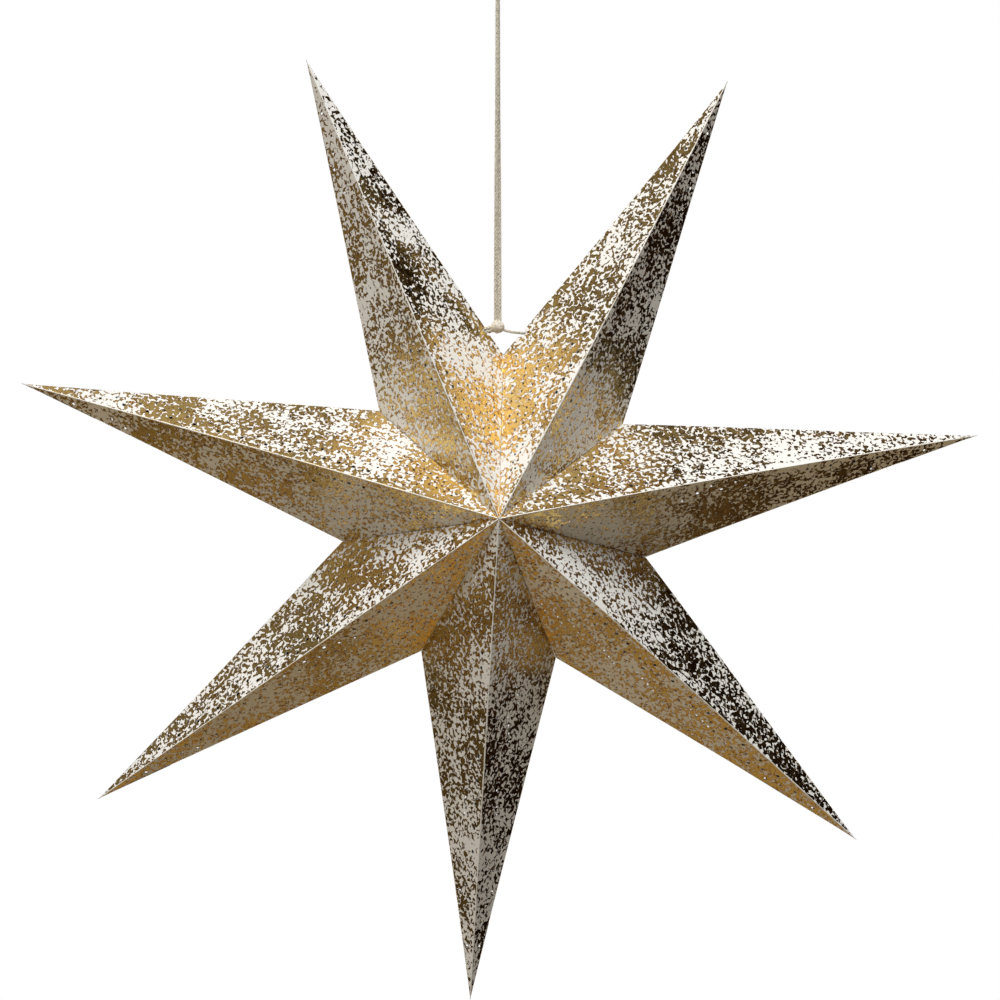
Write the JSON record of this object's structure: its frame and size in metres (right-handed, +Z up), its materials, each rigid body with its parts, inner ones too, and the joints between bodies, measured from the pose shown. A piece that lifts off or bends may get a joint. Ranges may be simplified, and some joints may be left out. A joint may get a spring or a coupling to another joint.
{
  "type": "paper star",
  "caption": "Fold-flat paper star shade with long hollow points, perforated along its ridges, hung from a doubled cord that is knotted through the top notch.",
  "frame": {"origin": "where the hook bears inside the eye of the hanging loop", "axes": "+Z up along the hanging cord, the front of the star faces -Y, +X to the right seen from the front"},
  "size_m": [0.5841, 0.14, 0.6472],
  "materials": {
    "card": "matt white card with gold foil flecks",
    "cord": "braided natural cotton"
  },
  "bodies": {
    "hanger": {"hanging_cord": "cord"},
    "yoke": {"main_knot": "cord", "left_tail": "cord", "right_tail": "cord", "left_stopper_knot": "cord", "right_stopper_knot": "cord"},
    "star": {"arm_1": "card", "arm_2": "card", "arm_3": "card", "arm_4": "card", "arm_5": "card", "arm_6": "card", "arm_7": "card"}
  },
  "joints": [
    {"name": "star_turn", "type": "hinge", "parent": "hanger", "child": "yoke", "pos_m": [0, 0, -0.22464], "axis": [0, 0, 1], "range_deg": [-180, 180]},
    {"name": "star_rock", "type": "hinge", "parent": "yoke", "child": "star", "pos_m": [0, 0, -0.23204], "axis": [0.9986, 0, -0.0532], "range_deg": [-45, 45]}
  ]
}
